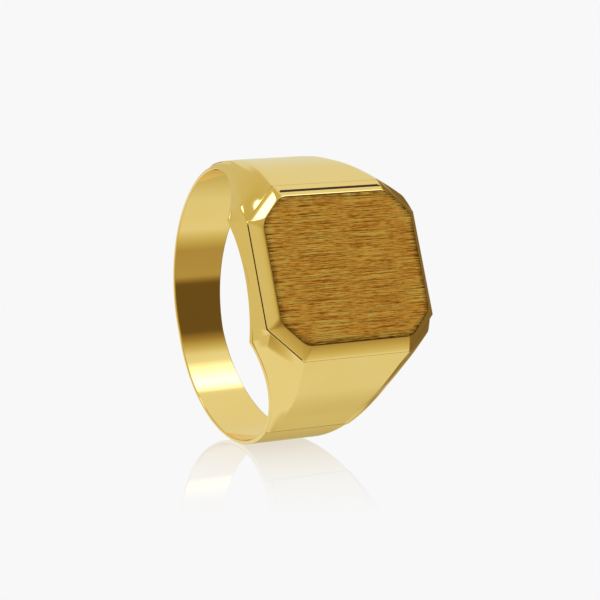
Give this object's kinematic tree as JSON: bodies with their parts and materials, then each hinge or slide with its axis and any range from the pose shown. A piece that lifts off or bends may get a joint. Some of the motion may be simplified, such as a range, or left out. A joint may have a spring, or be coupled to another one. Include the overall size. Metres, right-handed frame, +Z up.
{
  "type": "signet ring",
  "caption": "Gold signet ring with a bevelled octagonal head, brushed flat table, faceted shoulders and a thin tapering band.",
  "frame": {"origin": "middle of the finger hole, on its axis", "axes": "+X along the finger hole's axis, +Z up as the ring stands on the back of its band, the head facing -Y and leaning back by 19.7 degrees"},
  "size_m": [0.0148, 0.023, 0.0209],
  "materials": {
    "polished_gold": "polished yellow gold",
    "brushed_gold": "brushed yellow gold, fine lines across the head"
  },
  "bodies": {
    "root": {"finger_band": "polished_gold", "upper_shoulder": "polished_gold", "lower_shoulder": "polished_gold", "left_side_wall": "polished_gold", "right_side_wall": "polished_gold", "bezel_frame": "polished_gold", "signet_table": "brushed_gold"}
  },
  "joints": []
}
